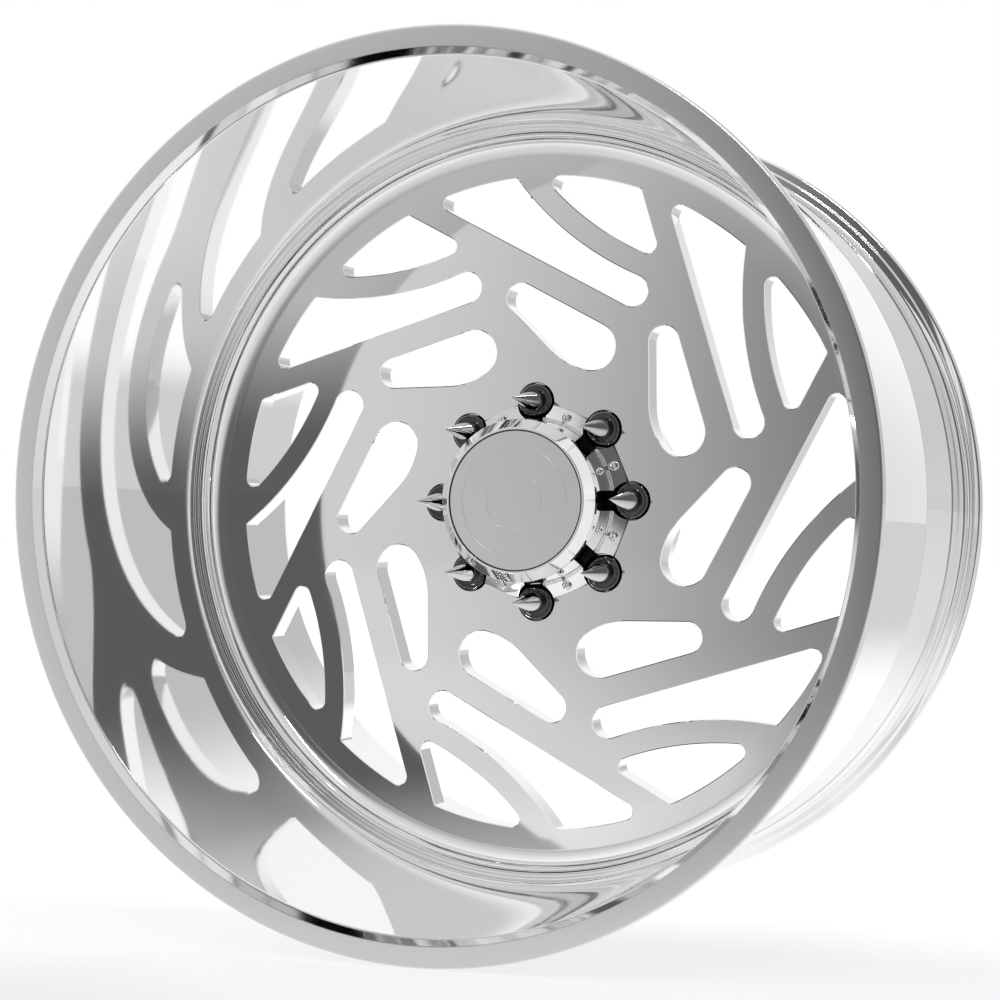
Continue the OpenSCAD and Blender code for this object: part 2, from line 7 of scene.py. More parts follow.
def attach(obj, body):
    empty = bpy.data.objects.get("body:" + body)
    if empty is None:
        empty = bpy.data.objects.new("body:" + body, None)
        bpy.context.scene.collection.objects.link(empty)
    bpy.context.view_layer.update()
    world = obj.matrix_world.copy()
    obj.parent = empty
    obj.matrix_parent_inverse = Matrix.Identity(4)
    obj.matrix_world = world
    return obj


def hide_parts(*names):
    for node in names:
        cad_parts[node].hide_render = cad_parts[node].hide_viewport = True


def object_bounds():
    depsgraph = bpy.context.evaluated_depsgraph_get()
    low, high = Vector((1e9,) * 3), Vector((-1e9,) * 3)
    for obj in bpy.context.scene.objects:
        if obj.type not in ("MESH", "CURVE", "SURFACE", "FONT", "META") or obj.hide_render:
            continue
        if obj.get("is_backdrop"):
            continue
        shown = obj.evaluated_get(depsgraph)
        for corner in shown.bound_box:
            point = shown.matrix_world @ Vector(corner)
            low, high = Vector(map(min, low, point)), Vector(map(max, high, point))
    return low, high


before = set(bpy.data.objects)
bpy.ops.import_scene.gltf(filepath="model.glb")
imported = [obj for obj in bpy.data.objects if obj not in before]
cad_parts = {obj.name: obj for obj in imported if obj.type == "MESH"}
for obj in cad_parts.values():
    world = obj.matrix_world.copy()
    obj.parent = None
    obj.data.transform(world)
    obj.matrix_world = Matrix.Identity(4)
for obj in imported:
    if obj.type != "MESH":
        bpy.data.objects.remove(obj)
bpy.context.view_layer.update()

# Points are rows (x, y, z) in millimetres, with y along the axle and the street side towards -y.
# Plane drawings use complex numbers: real part x, imaginary part z. Angles are in degrees.
half = 217.8  # from the middle plane to either lip
faceY, backY, padY = 39.5, 61.5, 101.0  # the centre's street face, its rear face, the mounting pad
shelfY = faceY + 10.7  # the barrel's shelf that the centre sits on
lugR, outerScrewR, innerScrewR = 85.0, 76.4, 64.3  # circles of the lug nuts and the cap's screws
lugTurns = [45 * k for k in range(8)]
screwTurns = [45 * k + 22.5 for k in range(8)]


def polar(r, a):
    # r e^(i a)
    return r * np.exp(1j * np.radians(a))


def bearing(p):
    # the angle of a point seen from 0
    return float(np.degrees(np.angle(p)))


def arc(c, r, a, b, step=3.0):
    # points c + r e^(i t), t from a to b
    n = max(2, int(np.ceil(abs(b - a) / step)) + 1)
    return c + polar(r, np.linspace(a, b, n))


def meet(c1, r1, c2, r2):
    # crossing of two circles, on the left going from c1 to c2
    d = abs(c2 - c1)
    a = (r1 * r1 - r2 * r2 + d * d) / (2 * d)
    return c1 + (c2 - c1) / d * (a + 1j * np.sqrt(max(0.0, r1 * r1 - a * a)))


def near(a, b):
    # the angle a turned by whole turns until it lies within half a turn of b
    return a + 360 * round((b - a) / 360)


def circle(r, n, c=0):
    # n points c + r e^(i t)
    return c + polar(r, np.arange(n) * 360 / n)


def pairs(loop):
    # complex points as a list of (real, imaginary)
    return list(zip(loop.real, loop.imag))


def flat(loop, y):
    # a plane drawing as points at one y
    return np.stack([loop.real, np.full(len(loop), float(y)), loop.imag], 1)


def strip(rows, around=True, along=False):
    # quads between rows of points: corner (i, j) joins (i, j + 1), (i + 1, j + 1) and (i + 1, j)
    rows = np.asarray(rows, float)
    m, n = rows.shape[:2]
    i = np.arange(m if along else m - 1)[:, None]
    j = np.arange(n if around else n - 1)[None, :]
    i2, j2 = (i + 1) % m, (j + 1) % n
    quads = np.stack([i * n + j, i * n + j2, i2 * n + j2, i2 * n + j], -1)
    return rows.reshape(-1, 3), quads.reshape(-1, 4)


def lathe(profile, n, c=0, closed=True):
    # ring k is (Re c + r_k cos t, y_k, Im c + r_k sin t); profile is a list of (r, y)
    p = np.asarray(profile, float)
    ring = c + p[:, 0:1] * circle(1, n)[None, :]
    rows = np.stack([ring.real, np.repeat(p[:, 1:2], n, 1), ring.imag], -1)
    return strip(rows, True, closed)


def sheetOf(loops, y):
    # the flat region inside the first loop and outside the others, at one y
    pts = np.concatenate(loops)
    first = np.cumsum([0] + [len(q) for q in loops])
    start = np.arange(len(pts))
    end = np.concatenate([np.roll(np.arange(s, t), -1) for s, t in zip(first, first[1:])])
    flatPts = np.stack([pts.real, pts.imag], 1)
    out = geometry.delaunay_2d_cdt([Vector(q) for q in flatPts], np.stack([start, end], 1).tolist(),
                                   [], 1, 1e-6)
    v = np.array([flatPts[q[0]] if q else tuple(p) for p, q in zip(out[0], out[3])])
    f = np.array(out[2])
    mid = v[f].mean(1)
    odd = np.zeros(len(f), int)
    # a triangle is in the region if a ray from its middle crosses the loops an odd number of times
    for s, t in zip(first, first[1:]):
        p, q = flatPts[s:t], np.roll(flatPts[s:t], -1, 0)
        above = (p[None, :, 1] > mid[:, None, 1]) != (q[None, :, 1] > mid[:, None, 1])
        rise = np.where(q[:, 1] == p[:, 1], 1e-9, q[:, 1] - p[:, 1])
        cross = p[:, 0] + (mid[:, None, 1] - p[None, :, 1]) * ((q[:, 0] - p[:, 0]) / rise)[None, :]
        odd += (above & (mid[:, None, 0] < cross)).sum(1)
    f = f[odd % 2 == 1]
    return np.stack([v[:, 0], np.full(len(v), float(y)), v[:, 1]], 1), np.column_stack([f, f[:, 2]])


def soften(points, radius=0.6, closed=True, bend=14):
    # each corner that bends more than bend becomes a curve (1 - t)^2 start + 2 t (1 - t) corner
    # + t^2 end, with one more point on either side so that flat runs stay flat
    p = np.asarray(points, float)
    n = len(p)
    out = []
    for k in range(n):
        if not closed and k in (0, n - 1):
            out.append(p[k])
            continue
        a, b, c = p[k - 1], p[k], p[(k + 1) % n]
        u, v = a - b, c - b
        lu, lv = np.linalg.norm(u), np.linalg.norm(v)
        u, v = u / lu, v / lv
        if np.degrees(np.arccos(np.clip(-u @ v, -1, 1))) < bend:
            out.append(b)
            continue
        cut = min(radius, 0.3 * lu, 0.3 * lv)
        t = np.linspace(0, 1, 5)[:, None]
        bow = (1 - t) ** 2 * (b + u * cut) + 2 * t * (1 - t) * b + t ** 2 * (b + v * cut)
        out += [b + u * cut * 1.5, *bow, b + v * cut * 1.5]
    return np.array(out)


def prism(loop, y0, y1):
    # a plane loop carried from y0 to y1, with both ends closed
    return [strip([flat(loop, y0), flat(loop, y1)]), sheetOf([loop], y0), sheetOf([loop], y1)]


def drill(r, y0, y1, c, n=72):
    # a cylinder of radius r round c from y0 to y1
    return lathe([(0, y0), (r, y0), (r, y1), (0, y1)], n, c, closed=False)


def welded(name, patches):
    # all patches as one mesh in metres: points within 0.001 mm become one, and faces point outwards
    verts = np.concatenate([v for v, _ in patches])
    base = np.cumsum([0] + [len(v) for v, _ in patches])
    quads = np.concatenate([f + s for (_, f), s in zip(patches, base)])
    _, firsts, index = np.unique(np.round(verts * 1000).astype(np.int64), axis=0,
                                 return_index=True, return_inverse=True)
    q = index.ravel()[quads]
    same = q == np.roll(q, -1, 1)
    cornered = same.sum(1) == 1
    tris = q[cornered][~same[cornered]].reshape(-1, 3)
    mesh = bpy.data.meshes.new(name)
    mesh.from_pydata((verts[firsts] * 0.001).tolist(), [], q[~same.any(1)].tolist() + tris.tolist())
    bm = bmesh.new()
    bm.from_mesh(mesh)
    bmesh.ops.recalc_face_normals(bm, faces=bm.faces)
    bm.to_mesh(mesh)
    openEdges = sum(not e.is_manifold for e in bm.edges)
    bm.free()
    obj = bpy.data.objects.new(name, mesh)
    bpy.context.scene.collection.objects.link(obj)
    return obj, openEdges


def finishMesh(obj, sharp):
    # smooth faces, with edges sharp where they bend more than sharp
    obj.data.shade_smooth()
    obj.data.set_sharp_from_angle(angle=np.radians(sharp))


def piece(name, patches, body, replaced, material, sharp=38):
    obj, openEdges = welded(name, patches)
    print("piece", name, len(obj.data.vertices), "vertices", openEdges, "open edges")
    finishMesh(obj, sharp)
    obj.data.materials.append(material)
    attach(obj, body)
    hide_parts(*replaced)
    return obj


def carve(obj, cutters, mode="DIFFERENCE", sharp=38):
    # exact boolean with each cutter in turn, then the cutters go
    for patches in cutters:
        cutter, _ = welded("cutter", patches)
        modifier = obj.modifiers.new("cut", "BOOLEAN")
        modifier.operation, modifier.solver, modifier.object = mode, "EXACT", cutter
        carved = bpy.data.meshes.new_from_object(
            obj.evaluated_get(bpy.context.evaluated_depsgraph_get()))
        obj.modifiers.clear()
        carved.name = obj.name
        obj.data = carved
        bpy.data.objects.remove(cutter)
    finishMesh(obj, sharp)


class Socket:
    # a shader socket that adds, subtracts and multiplies
    def __init__(self, tree, socket=None):
        self.tree, self.socket = tree, socket

    def node(self, kind, inputs=(), out=0, **settings):
        made = self.tree.nodes.new("ShaderNode" + kind)
        for key, value in settings.items():
            setattr(made, key, value)
        for key, value in dict(inputs).items():
            if isinstance(value, Socket):
                self.tree.links.new(value.socket, made.inputs[key])
            else:
                made.inputs[key].default_value = value
        return Socket(self.tree, made.outputs[out])

    def math(self, operation, other=0.0):
        return self.node("Math", {0: self, 1: other}, operation=operation)

    def __add__(self, other):
        return self.math("ADD", other)

    def __sub__(self, other):
        return self.math("SUBTRACT", other)

    def __rsub__(self, other):
        return self.node("Math", {0: other, 1: self}, operation="SUBTRACT")

    def __mul__(self, other):
        return self.math("MULTIPLY", other)

    __radd__, __rmul__ = __add__, __mul__

    def ramp(self, low, high, a=0.0, b=1.0, smooth=False):
        return self.node("MapRange", {"Value": self, "From Min": low, "From Max": high,
                                      "To Min": a, "To Max": b},
                         interpolation_type="SMOOTHSTEP" if smooth else "LINEAR")

    def parts(self):
        x = self.node("SeparateXYZ", {0: self})
        return [x] + [Socket(self.tree, o) for o in x.socket.node.outputs[1:]]

    def into(self, target):
        self.tree.links.new(self.socket, target)


def objectPlace(tree):
    return Socket(tree).node("TexCoord", out=3)


def surface(name, colour, rough, metal=1.0, lines=0.0, coat=0.0, zone=None):
    # lines: height in mm of fine turning lines, a noise over the radius and y
    # zone: inside a radius, in front of "front" or beyond "back" in metres, another grey and roughness; for
    # the neck and skirt this is painted shade, near black and dull
    material = bpy.data.materials.new(name)
    material.use_nodes = True
    tree = material.node_tree
    shader = tree.nodes["Principled BSDF"]
    shader.inputs["Base Color"].default_value = (*colour, 1)
    shader.inputs["Metallic"].default_value = metal
    shader.inputs["Roughness"].default_value = rough
    shader.inputs["Coat Weight"].default_value = coat
    if not (lines or zone):
        return material
    x, y, z = objectPlace(tree).parts()
    radius = (x * x + z * z).math("SQRT")
    if lines:
        fine = 900.0
        spot = radius.node("CombineXYZ", {"X": radius * fine, "Y": y * fine})
        grain = spot.node("TexNoise", {"Vector": spot, "Scale": 1.0, "Detail": 2.0})
        bump = grain.node("Bump", {"Height": grain, "Strength": 1.0, "Distance": lines * 0.001})
        bump.into(shader.inputs["Normal"])
    if zone:
        inner, ahead, beyond = zone.get("radius", -1), zone.get("front", -1), zone.get("back", 1)
        rest = (radius.ramp(inner, inner + 0.0006) * y.ramp(ahead, ahead + 0.0006)
                * y.ramp(beyond, beyond + 0.0003, 1.0, 0.0))
        grey, dull = zone["look"]
        for key, there, elsewhere in (("Base Color", grey, colour[1]), ("Roughness", dull, rough)):
            (rest * (elsewhere - there) + there).into(shader.inputs[key])
    return material


# the second pair is painted shade: a near black grey and its roughness
mirror, paintedShade = (0.93, 0.935, 0.945), (0.015, 0.35)
polished = surface("polished", (0.90, 0.905, 0.915), 0.035, lines=0.0002,
                   zone={"front": 0.0003 - half * 0.001, "look": (0.64, 0.28)})
faceMetal = surface("face_metal", (0.90, 0.905, 0.905), 0.05, lines=0.0003)
mirrorMetal = surface("mirror_metal", mirror, 0.03)
# painted shade, near black and dull: on the neck inside a radius of 59.7 mm, where the foot slots show the
# cap's inside, and on neck and skirt beyond y 38.1 mm, the skirt's lowest edge against the centre's face
neckMetal = surface("neck_metal", mirror, 0.03, zone={"radius": 0.0597, "back": 0.0381, "look": paintedShade})
skirtMetal = surface("skirt_metal", mirror, 0.03, zone={"back": 0.0381, "look": paintedShade})
satin = surface("satin", (0.80, 0.81, 0.80), 0.30, lines=0.001)
darkChrome = surface("dark_chrome", (0.045, 0.045, 0.05), 0.03, coat=0.6)
chrome = surface("chrome", (0.78, 0.785, 0.80), 0.03)
weldMetal = surface("weld_metal", (0.62, 0.63, 0.65), 0.30)
rubber = surface("rubber", (0.012, 0.012, 0.013), 0.55, metal=0.0)
brass = surface("brass", (0.80, 0.62, 0.32), 0.22)
plastic = surface("plastic", (0.02, 0.02, 0.022), 0.40, metal=0.0)
print("materials done")

# barrel: one turned profile of (radius, y), with a flange and a bead seat at each end
barrel = {
    "turns": 480, "sharp": 50, "flange": 347.7, "flangeT": 14.6, "round": 3.0, "foot": 3.0,
    "step": 8.0, "stepW": 3.5, "stepRound": 1.2, "seat": 331.0, "seatW": 30.0, "hump": 1.2,
    "wall": 329.5, "frontFoot": 7.2, "rearFoot": 6.0, "well": 304.0, "wellSlope": 22.0, "wellRound": 4.0,
    "lip": 326.0, "lipBevel": 8.0, "lipBack": 318.7, "lipEnd": 6.5, "ledge": 317.0,
    "inside": 296.5, "insideSlope": 22.0, "rearWall": 325.0, "insideRound": 1.2,
}


def flangeProfile(side):
    # from the lip's edge over the flange's rounds and step to the bead seat; side -1 front, 1 rear
    b = barrel
    r, small, foot = b["round"], b["stepRound"], b["foot"]
    top, at, step = b["flange"] - r, half - b["flangeT"], b["seat"] + b["step"]
    curve = np.concatenate([arc(complex(top, half - r), r, 90, 0, 10),
                            arc(complex(top, at + b["stepW"] + r), r, 0, -90, 10),
                            arc(complex(step + small, at + b["stepW"] - small), small, 90, 180, 15),
                            arc(complex(step - small, at + small), small, 0, -90, 15),
                            arc(complex(b["seat"] + foot, at - foot), foot, 90, 180, 12)])
    return [(b["seat"], side * half)] + pairs(curve.real + 1j * side * curve.imag)


def humpProfile(side):
    # radius rises with the square of sin t while y runs inwards with t
    b = barrel
    h, t = b["hump"], np.linspace(0, np.pi, 13)
    at = half - b["flangeT"] - b["seatW"]
    return pairs(b["seat"] - 1 + (h + 1) * np.sin(t) ** 2 + 1j * side * (at + h * 2 - 8 * h * t / np.pi))


def barrelProfile():
    # front flange and hump, the outside with its drop centre, rear hump and flange, then the inside
    b = barrel
    front, rear = (flangeProfile(side) + humpProfile(side) for side in (-1, 1))
    seatEnd = half - b["flangeT"] - b["seatW"]
    wellFront, wellRear = shelfY - 2, seatEnd - b["rearFoot"]
    outside = soften([front[-1], (b["wall"], b["frontFoot"] - seatEnd), (b["wall"], wellFront),
                      (b["well"], wellFront + b["wellSlope"]), (b["well"], wellRear - b["wellSlope"]),
                      (b["wall"], wellRear), rear[-1]], b["wellRound"], closed=False)
    riseY = wellRear + 6
    inside = soften([(b["seat"], half), (b["lip"], half - b["lipBevel"]), (b["rearWall"], riseY),
                     (b["inside"], riseY - b["insideSlope"]), (b["inside"], shelfY), (b["ledge"], shelfY),
                     (b["ledge"], b["lipEnd"] + 2), (b["lipBack"], b["lipEnd"]),
                     (b["lip"], b["lipBevel"] - half), (b["seat"], -half)],
                    b["insideRound"], closed=False)
    return [*front, *outside[1:-1], *rear[::-1], *inside[1:-1]]


rimBarrel = piece("barrel", [lathe(barrelProfile(), barrel["turns"])], "wheel",
                  ["rim_barrel"], polished, sharp=barrel["sharp"])

# the valve's hole and its two spot faces; depths are in mm inwards of the drop centre
valve = {"turn": 94.0, "y": 91.5, "hole": 5.75, "spot": 9.5, "outer": 0.3, "inner": 7.2,
         "from": -8.0, "to": 16.0}


def valveCut(r, start, end):
    # a cylinder on the valve's axis: middle + depth inwards, with r cos t to the side and r sin t in y
    p = np.array([(0, start), (r, start), (r, end), (0, end)], float)
    e = circle(1, 48)
    inwards = -polar(1, valve["turn"])
    spot = (polar(barrel["well"], valve["turn"]) + inwards * p[:, 1:2]
            + inwards * 1j * (p[:, 0:1] * e.real[None, :]))
    y = valve["y"] + p[:, 0:1] * e.imag[None, :]
    return [strip(np.stack([spot.real, y, spot.imag], -1), True, False)]


carve(rimBarrel, [valveCut(valve["hole"], valve["from"], valve["to"]),
                  valveCut(valve["spot"], valve["from"], valve["outer"]),
                  valveCut(valve["spot"], valve["inner"], valve["to"])], sharp=barrel["sharp"])
print("barrel done")

# windows: a long one, a leaf behind its blade and a slot, all drawn for one spoke that leans
window = {
    "lean": 61.3, "outer": 277.3, "sharp": 3, "blade": 280, "bladeW": 19.3, "bladeSide": 230,
    "longEdge": 182.1, "longEnd": 13.4, "longShift": 9.1, "longCorner": 94, "longTip": 7.3,
    "leafEdge": 163.0, "leafEnd": 7.5, "leafTip": 7,
    "narrow": -13.6 + 173.8j, "narrowR": 13, "wide": 50.5 + 130.4j, "wideR": 20.2,
    "belly": 64, "bellyFrom": 224.8, "bellyTo": 258.5,
}


def joined(*arcs):
    # arcs end to end as one loop, without points that lie on one another
    loop = np.concatenate(arcs)
    return loop[abs(loop - np.roll(loop, 1)) > 0.05]


def onBlade(p):
    # bearing of a point from the blade's centre
    return near(bearing(p - bladeC), window["bladeSide"])


def longWindow():
    # round end, the blade's inner side, sharp corner, outer arc, round tip and a straight edge
    w = window
    lean, outer = w["lean"], w["outer"]
    tip = polar(outer - w["longTip"],
                lean + np.degrees(np.arccos((w["longEdge"] + w["longTip"]) / (outer - w["longTip"]))))
    return joined(arc(longEnd, w["longEnd"], lean - 180, bearing(bladeC - longEnd), 6),
                  arc(bladeC, w["blade"], onBlade(longEnd), onBlade(longCorner), 1),
                  arc(longCorner, w["sharp"], bearing(bladeC - longCorner), bearing(longCorner), 10),
                  arc(0, outer, bearing(longCorner), bearing(tip), 1),
                  arc(tip, w["longTip"], bearing(tip), lean + 180, 8))


def leafWindow():
    # round end, a straight edge, sharp corner, outer arc, round tip and the blade's outer side
    w = window
    lean, outer, endR, tipR = w["lean"] - 45, w["outer"], w["leafEnd"], w["leafTip"]
    bladeR, offset = w["blade"] - w["bladeW"], w["leafEdge"] - endR
    turned = bladeC * polar(1, -lean)
    end = complex(offset, turned.imag - np.sqrt((bladeR - endR) ** 2
                                                - (turned.real - offset) ** 2)) * polar(1, lean)
    corner = polar(outer - w["sharp"],
                   lean + np.degrees(np.arccos((w["leafEdge"] - w["sharp"]) / (outer - w["sharp"]))))
    tip = meet(0, outer - tipR, bladeC, bladeR - tipR)
    return joined(arc(end, endR, near(bearing(end - bladeC), -90), lean, 8),
                  arc(corner, w["sharp"], lean, bearing(corner), 10),
                  arc(0, outer, bearing(corner), bearing(tip), 1),
                  arc(tip, tipR, bearing(tip), near(bearing(tip - bladeC), 200), 8),
                  arc(bladeC, bladeR, onBlade(tip), onBlade(end), 1))


def slotWindow():
    # a narrow and a wide round end, with a hollow side between them
    w = window
    belly = w["wide"] - polar(w["belly"] - w["wideR"], w["bellyTo"])
    return joined(arc(w["narrow"], w["narrowR"], w["lean"], w["bellyFrom"], 6),
                  arc(belly, w["belly"], w["bellyFrom"], w["bellyTo"], 2),
                  arc(w["wide"], w["wideR"], w["bellyTo"], w["lean"] + 360, 5))


longEnd = (window["longEdge"] + window["longEnd"] + window["longShift"] * 1j) * polar(1, window["lean"])
longCorner = polar(window["outer"] - window["sharp"], window["longCorner"])
bladeC = meet(longCorner, window["blade"] + window["sharp"], longEnd, window["blade"] + window["longEnd"])

# windowed centre: disc, stepped edge, hub with its bore, lug pockets and tapped screw holes
centre = {
    "turns": 720, "hubTurns": 360, "holeTurns": 72, "bevel": 0.7, "land": 0.5,
    "edge": 294.0, "back": 296.45, "seat": 316.95, "cove": 17, "stepW": 2, "stepH": 4, "edgeRound": 0.4,
    "boss": 112, "bossRound": 4, "padBevel": 2, "bore": 62.55, "boreBevel": 1.5,
    "pocket": 16.1, "padT": 24, "cone": 12, "stud": 7.75, "tapped": 1.56, "tappedDeep": 8, "tappedTurns": 20,
}
cone = np.tan(np.radians(30))
coneBase = padY - centre["padT"]  # where the stud hole opens into its cone seat
coneTop = coneBase - (centre["cone"] - centre["stud"]) / cone


def grown(loop, by):
    # moves each point outwards from a counter-clockwise loop
    t = np.roll(loop, -1) - np.roll(loop, 1)
    return loop - 1j * t / abs(t) * by


def windowWall(loop, wide):
    # a window's wall through the disc, bevelled at both faces
    a, land = centre["bevel"], centre["land"]
    levels = [(wide, faceY), (loop, faceY + a), (loop, faceY + a + land), (loop, backY - a - land),
              (loop, backY - a), (wide, backY)]
    return strip([flat(q, y) for q, y in levels])


def lugWall(lug):
    # pocket, cone seat's rim and stud hole
    c = centre
    pocket, stud, land = c["pocket"], c["stud"], c["land"]
    return lathe([(pocket + land, faceY), (pocket, faceY + land), (pocket, faceY + 2 * land),
                  (pocket, coneTop), (c["cone"], coneTop), (stud, coneBase), (stud, padY - 2 * land),
                  (stud, padY - land), (stud + land, padY)], c["holeTurns"], lug, closed=False)


def hubWalls():
    # the bore with its bevel, and the boss with a quarter round at its foot
    c = centre
    boss, foot, r = c["boss"], backY + c["bossRound"], c["bossRound"]
    bossTop = soften([(boss - c["padBevel"], padY), (boss, padY - c["padBevel"]), (boss, foot)],
                     0.5, closed=False).tolist()
    t = np.linspace(0.15, np.pi / 2, 8)
    bossFoot = list(zip(boss + r - r * np.cos(t), foot - r * np.sin(t)))
    return [lathe([(c["bore"], faceY), (c["bore"], padY - c["boreBevel"]),
                   (c["bore"] + c["boreBevel"], padY)], c["hubTurns"], closed=False),
            lathe(bossTop + bossFoot, c["hubTurns"], closed=False)]


def edgeWall():
    # the cove, three turned steps down to the seat, and the back of the rim
    c = centre
    coveY = faceY - c["cove"]
    seatY = coveY - 3 * c["stepH"]
    steps = [(barrel["ledge"] - c["stepW"] * (s + 1), seatY + c["stepH"] * (s + k))
             for s in range(3) for k in (0, 1)]
    rim = soften([(c["edge"] + c["cove"], coveY)] + steps[::-1][1:]
                 + [(c["seat"], seatY), (c["seat"], shelfY), (c["back"], shelfY), (c["back"], backY)],
                 c["edgeRound"], closed=False).tolist()
    return lathe(pairs(arc(complex(c["edge"], coveY), c["cove"], 90, 0, 5))[:-1] + rim,
                 c["turns"], closed=False)


def centrePatches():
    c = centre
    outlines = slotWindow(), longWindow(), leafWindow()
    frontLoops = [circle(c["edge"], c["turns"])]
    backLoops = [circle(c["back"], c["turns"]), circle(c["boss"] + c["bossRound"], c["hubTurns"])]
    padLoops = [circle(c["boss"] - c["padBevel"], c["hubTurns"])]
    walls = []
    for lugTurn, screwTurn in zip(lugTurns, screwTurns):
        for outline in outlines:
            loop = outline * polar(1, lugTurn)
            wide = grown(loop, c["bevel"])
            frontLoops.append(wide)
            backLoops.append(wide)
            walls.append(windowWall(loop, wide))
        lug, tapped, tappedR = polar(lugR, lugTurn), polar(outerScrewR, screwTurn), c["tapped"]
        frontLoops.append(circle(c["pocket"] + c["land"], c["holeTurns"], lug))
        padLoops.append(circle(c["stud"] + c["land"], c["holeTurns"], lug))
        walls.append(lugWall(lug))
        frontLoops.append(circle(tappedR, c["tappedTurns"], tapped))
        tappedY = faceY + c["tappedDeep"]
        walls.append(lathe([(tappedR, faceY), (tappedR, tappedY), (0, tappedY)],
                           c["tappedTurns"], tapped, closed=False))
    frontLoops.append(circle(c["bore"], c["hubTurns"]))
    padLoops.append(circle(c["bore"] + c["boreBevel"], c["hubTurns"]))
    return walls + hubWalls() + [edgeWall(), sheetOf(frontLoops, faceY), sheetOf(backLoops, backY),
                                 sheetOf(padLoops, padY)]


piece("wheel_face", centrePatches(), "wheel", ["wheel_centre"], faceMetal, sharp=25)
print("centre done")

# weld bead behind the centre: a quarter round in the corner
weld = {"r": 5, "turns": 360}
bead = arc(complex(barrel["inside"] - weld["r"], backY + weld["r"]), weld["r"], -90, 0, 10)
piece("weld", [lathe([(barrel["inside"], backY)] + pairs(bead), weld["turns"])], "wheel",
      ["rear_weld_bead"], weldMetal)

# cap's skirt: a sloped octagon with cut corners, a double bead and a notch round each nut
cap = {
    "turns": 360, "outer": 85, "outerRim": 0.84, "inside": 56.5, "corner": 84, "cornerTurn": 11.5,
    "slope": 19.5, "rim": 1.4, "notch": 16.5, "bead": 70.2, "beadR": 0.8, "recess": 3,
    "slotIn": 67.6, "slotOut": 72.4, "slotHalf": 1.7, "slotDeep": 0.6,
    "footSlot": (58.5, 84.5, 8.5), "footSlotFrom": 1, "footSlotTo": 11, "cutTo": 20,
    "headR": (4.2, 3.3), "clear": 0.06, "screw": 1.5, "screwHole": 1.56,
}
flatR = cap["corner"] * np.cos(np.radians(cap["cornerTurn"]))
plateY = faceY - cap["recess"]
top = faceY - 51.5  # the street end of the whole cap


def slopeY(r):
    # y of the sloped street side at a radius
    return faceY - cap["rim"] - (flatR - r) * np.tan(np.radians(cap["slope"]))


def beadArc(r, a, b):
    return [(p, slopeY(r) - q) for p, q in pairs(arc(complex(r, 0), cap["beadR"], a, b, 15))]


def box(inner, outer, wide):
    # a rectangle along the radius, to be turned into place
    return np.array([inner - wide * 1j, outer - wide * 1j, outer + wide * 1j, inner + wide * 1j])


def footSlots():
    # from each nut in to the neck and 2 mm into its wall
    return sum((prism(box(*cap["footSlot"]) * polar(1, a), faceY - cap["footSlotFrom"],
                      faceY - cap["footSlotTo"]) for a in lugTurns), [])


def holes(r, circleR, y0, y1, n, turns=screwTurns):
    return [drill(r, y0, y1, polar(circleR, a), n) for a in turns]


beadR = cap["beadR"]
outerSeat, innerSeat = (slopeY(r + head) for r, head in zip((outerScrewR, innerScrewR), cap["headR"]))
outerBore, innerBore = (head + cap["clear"] for head in cap["headR"])
corners = np.array([polar(cap["corner"], a + s * cap["cornerTurn"]) for a in screwTurns for s in (-1, 1)])
skirt = piece("cap_skirt_face", [lathe(
    [(cap["inside"], faceY), (cap["outer"], faceY), (cap["outer"], faceY - cap["outerRim"]),
     (flatR, slopeY(flatR))]
    + beadArc(cap["bead"] + beadR, 0, 150) + beadArc(cap["bead"] - beadR, 30, 180)
    + [(cap["bead"] - 2 * beadR, plateY), (cap["inside"], plateY)], cap["turns"])],
    "centre_cap", ["cap_skirt"], skirtMetal)
cutTo = faceY - cap["cutTo"]
carve(skirt, [prism(corners, faceY + 5, faceY - 30)], "INTERSECT")
carve(skirt, [holes(cap["notch"], lugR, faceY + 1, cutTo - 20, 72, lugTurns),
              holes(outerBore, outerScrewR, outerSeat, cutTo, 40),
              holes(cap["screwHole"], outerScrewR, faceY + 5, cutTo, 24),
              holes(cap["screwHole"], innerScrewR, faceY - 0.5, cutTo, 24)])
beadSlots = sum((prism(box(cap["slotIn"], cap["slotOut"], cap["slotHalf"]) * polar(1, a),
                       plateY - cap["slotDeep"], cutTo) for a in screwTurns), [])
carve(skirt, [beadSlots, footSlots()])

# cap's neck: a foot under the slope and a straight tower
neckSize = {"foot": 68, "r": 60.5, "top": top + 15.2, "round": 0.25}
foot, neckR, neckTop = neckSize["foot"], neckSize["r"], neckSize["top"]
neck = piece("cap_neck_tower", [lathe(soften(
    [(cap["inside"], plateY), (foot, plateY), (foot, slopeY(foot)), (neckR, slopeY(neckR)),
     (neckR, neckTop), (cap["inside"], neckTop)], neckSize["round"]), cap["turns"])],
    "centre_cap", ["cap_neck"], neckMetal)
carve(neck, [footSlots(), holes(innerBore, innerScrewR, innerSeat, cutTo + 2, 36),
             holes(cap["screwHole"], innerScrewR, faceY + 5, cutTo + 8, 24)])

